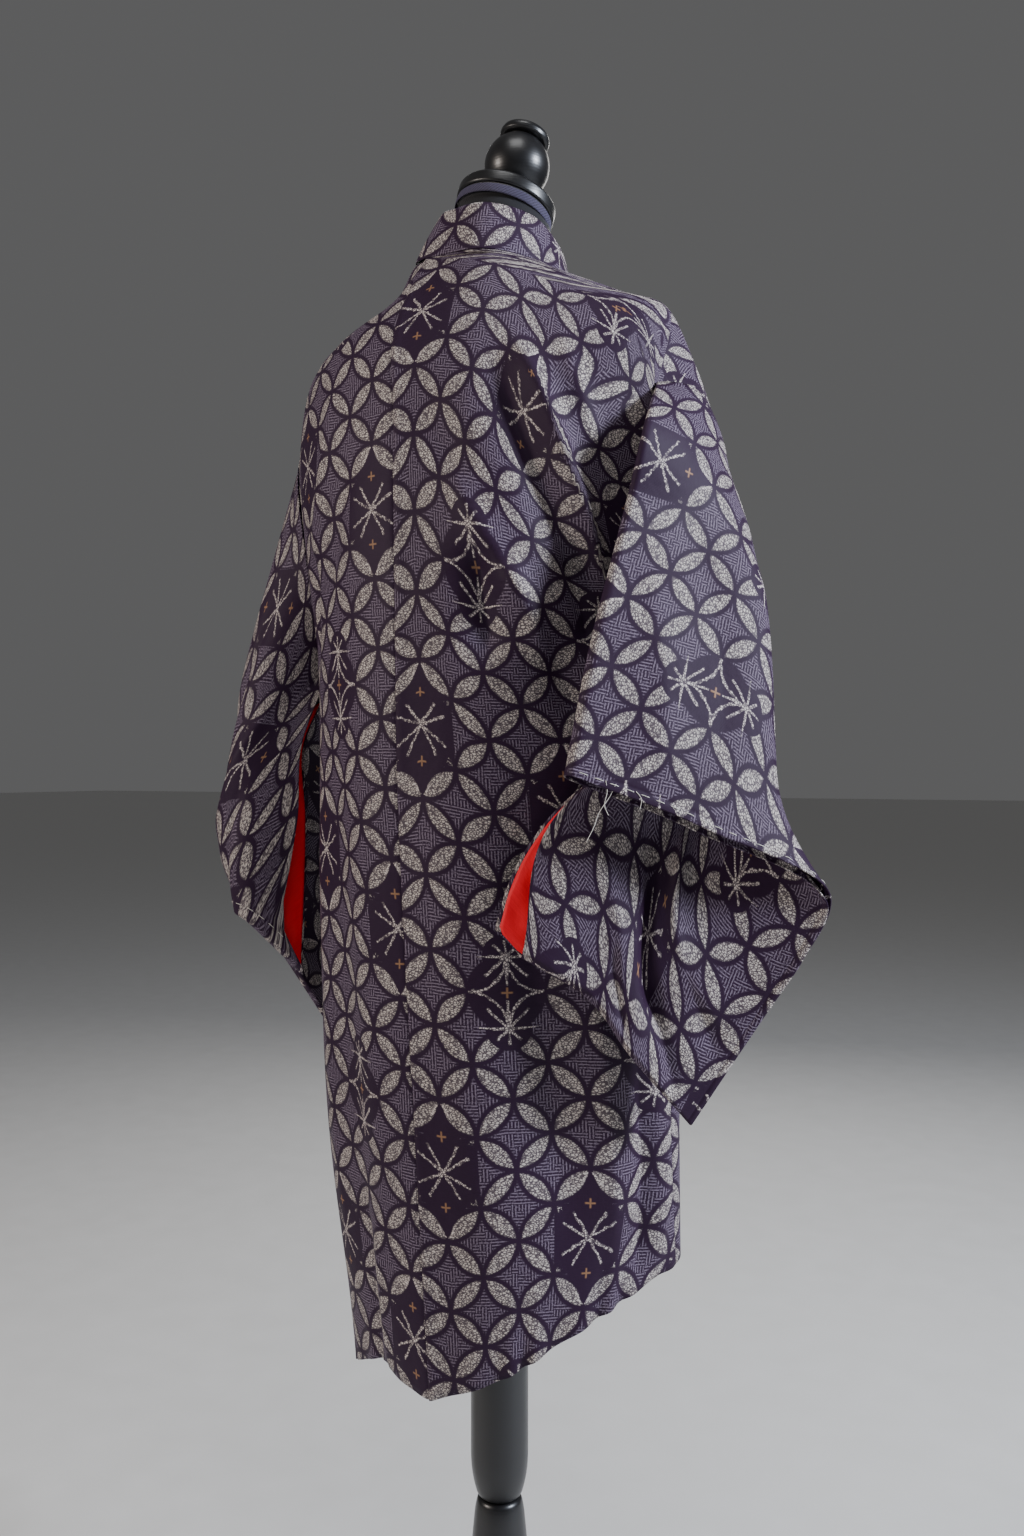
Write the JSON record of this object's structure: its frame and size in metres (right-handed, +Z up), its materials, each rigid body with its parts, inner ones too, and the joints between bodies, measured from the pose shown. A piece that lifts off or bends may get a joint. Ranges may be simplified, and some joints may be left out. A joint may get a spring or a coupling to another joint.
{
  "type": "haori jacket on a limbless dress form",
  "caption": "Long wide-sleeved haori jacket hanging open in front on a limbless dress form with turned cap, ball finial, turned pole and round base.",
  "frame": {"origin": "centre of the underside of the round base, on the pole's axis", "axes": "+Z up the pole, +Y towards the wearer's back, +X towards the wearer's left"},
  "size_m": [0.6093, 0.38, 1.6148],
  "materials": {
    "silk": "matte figured silk, aubergine with a pale interlocking-circle pattern",
    "red_lining": "vermilion silk lining",
    "velvet": "black velvet",
    "black_wood": "turned wood, satin black"
  },
  "bodies": {
    "root": {"base": "black_wood", "pole_lower": "black_wood", "pole_upper": "black_wood", "torso": "velvet", "neck_cap": "black_wood", "finial": "black_wood", "body_right": "silk", "body_left": "silk", "gusset_right": "silk", "gusset_left": "silk", "collar": "silk", "sleeve_right": "silk", "sleeve_left": "silk", "lining_right": "red_lining", "lining_left": "red_lining"}
  },
  "joints": []
}
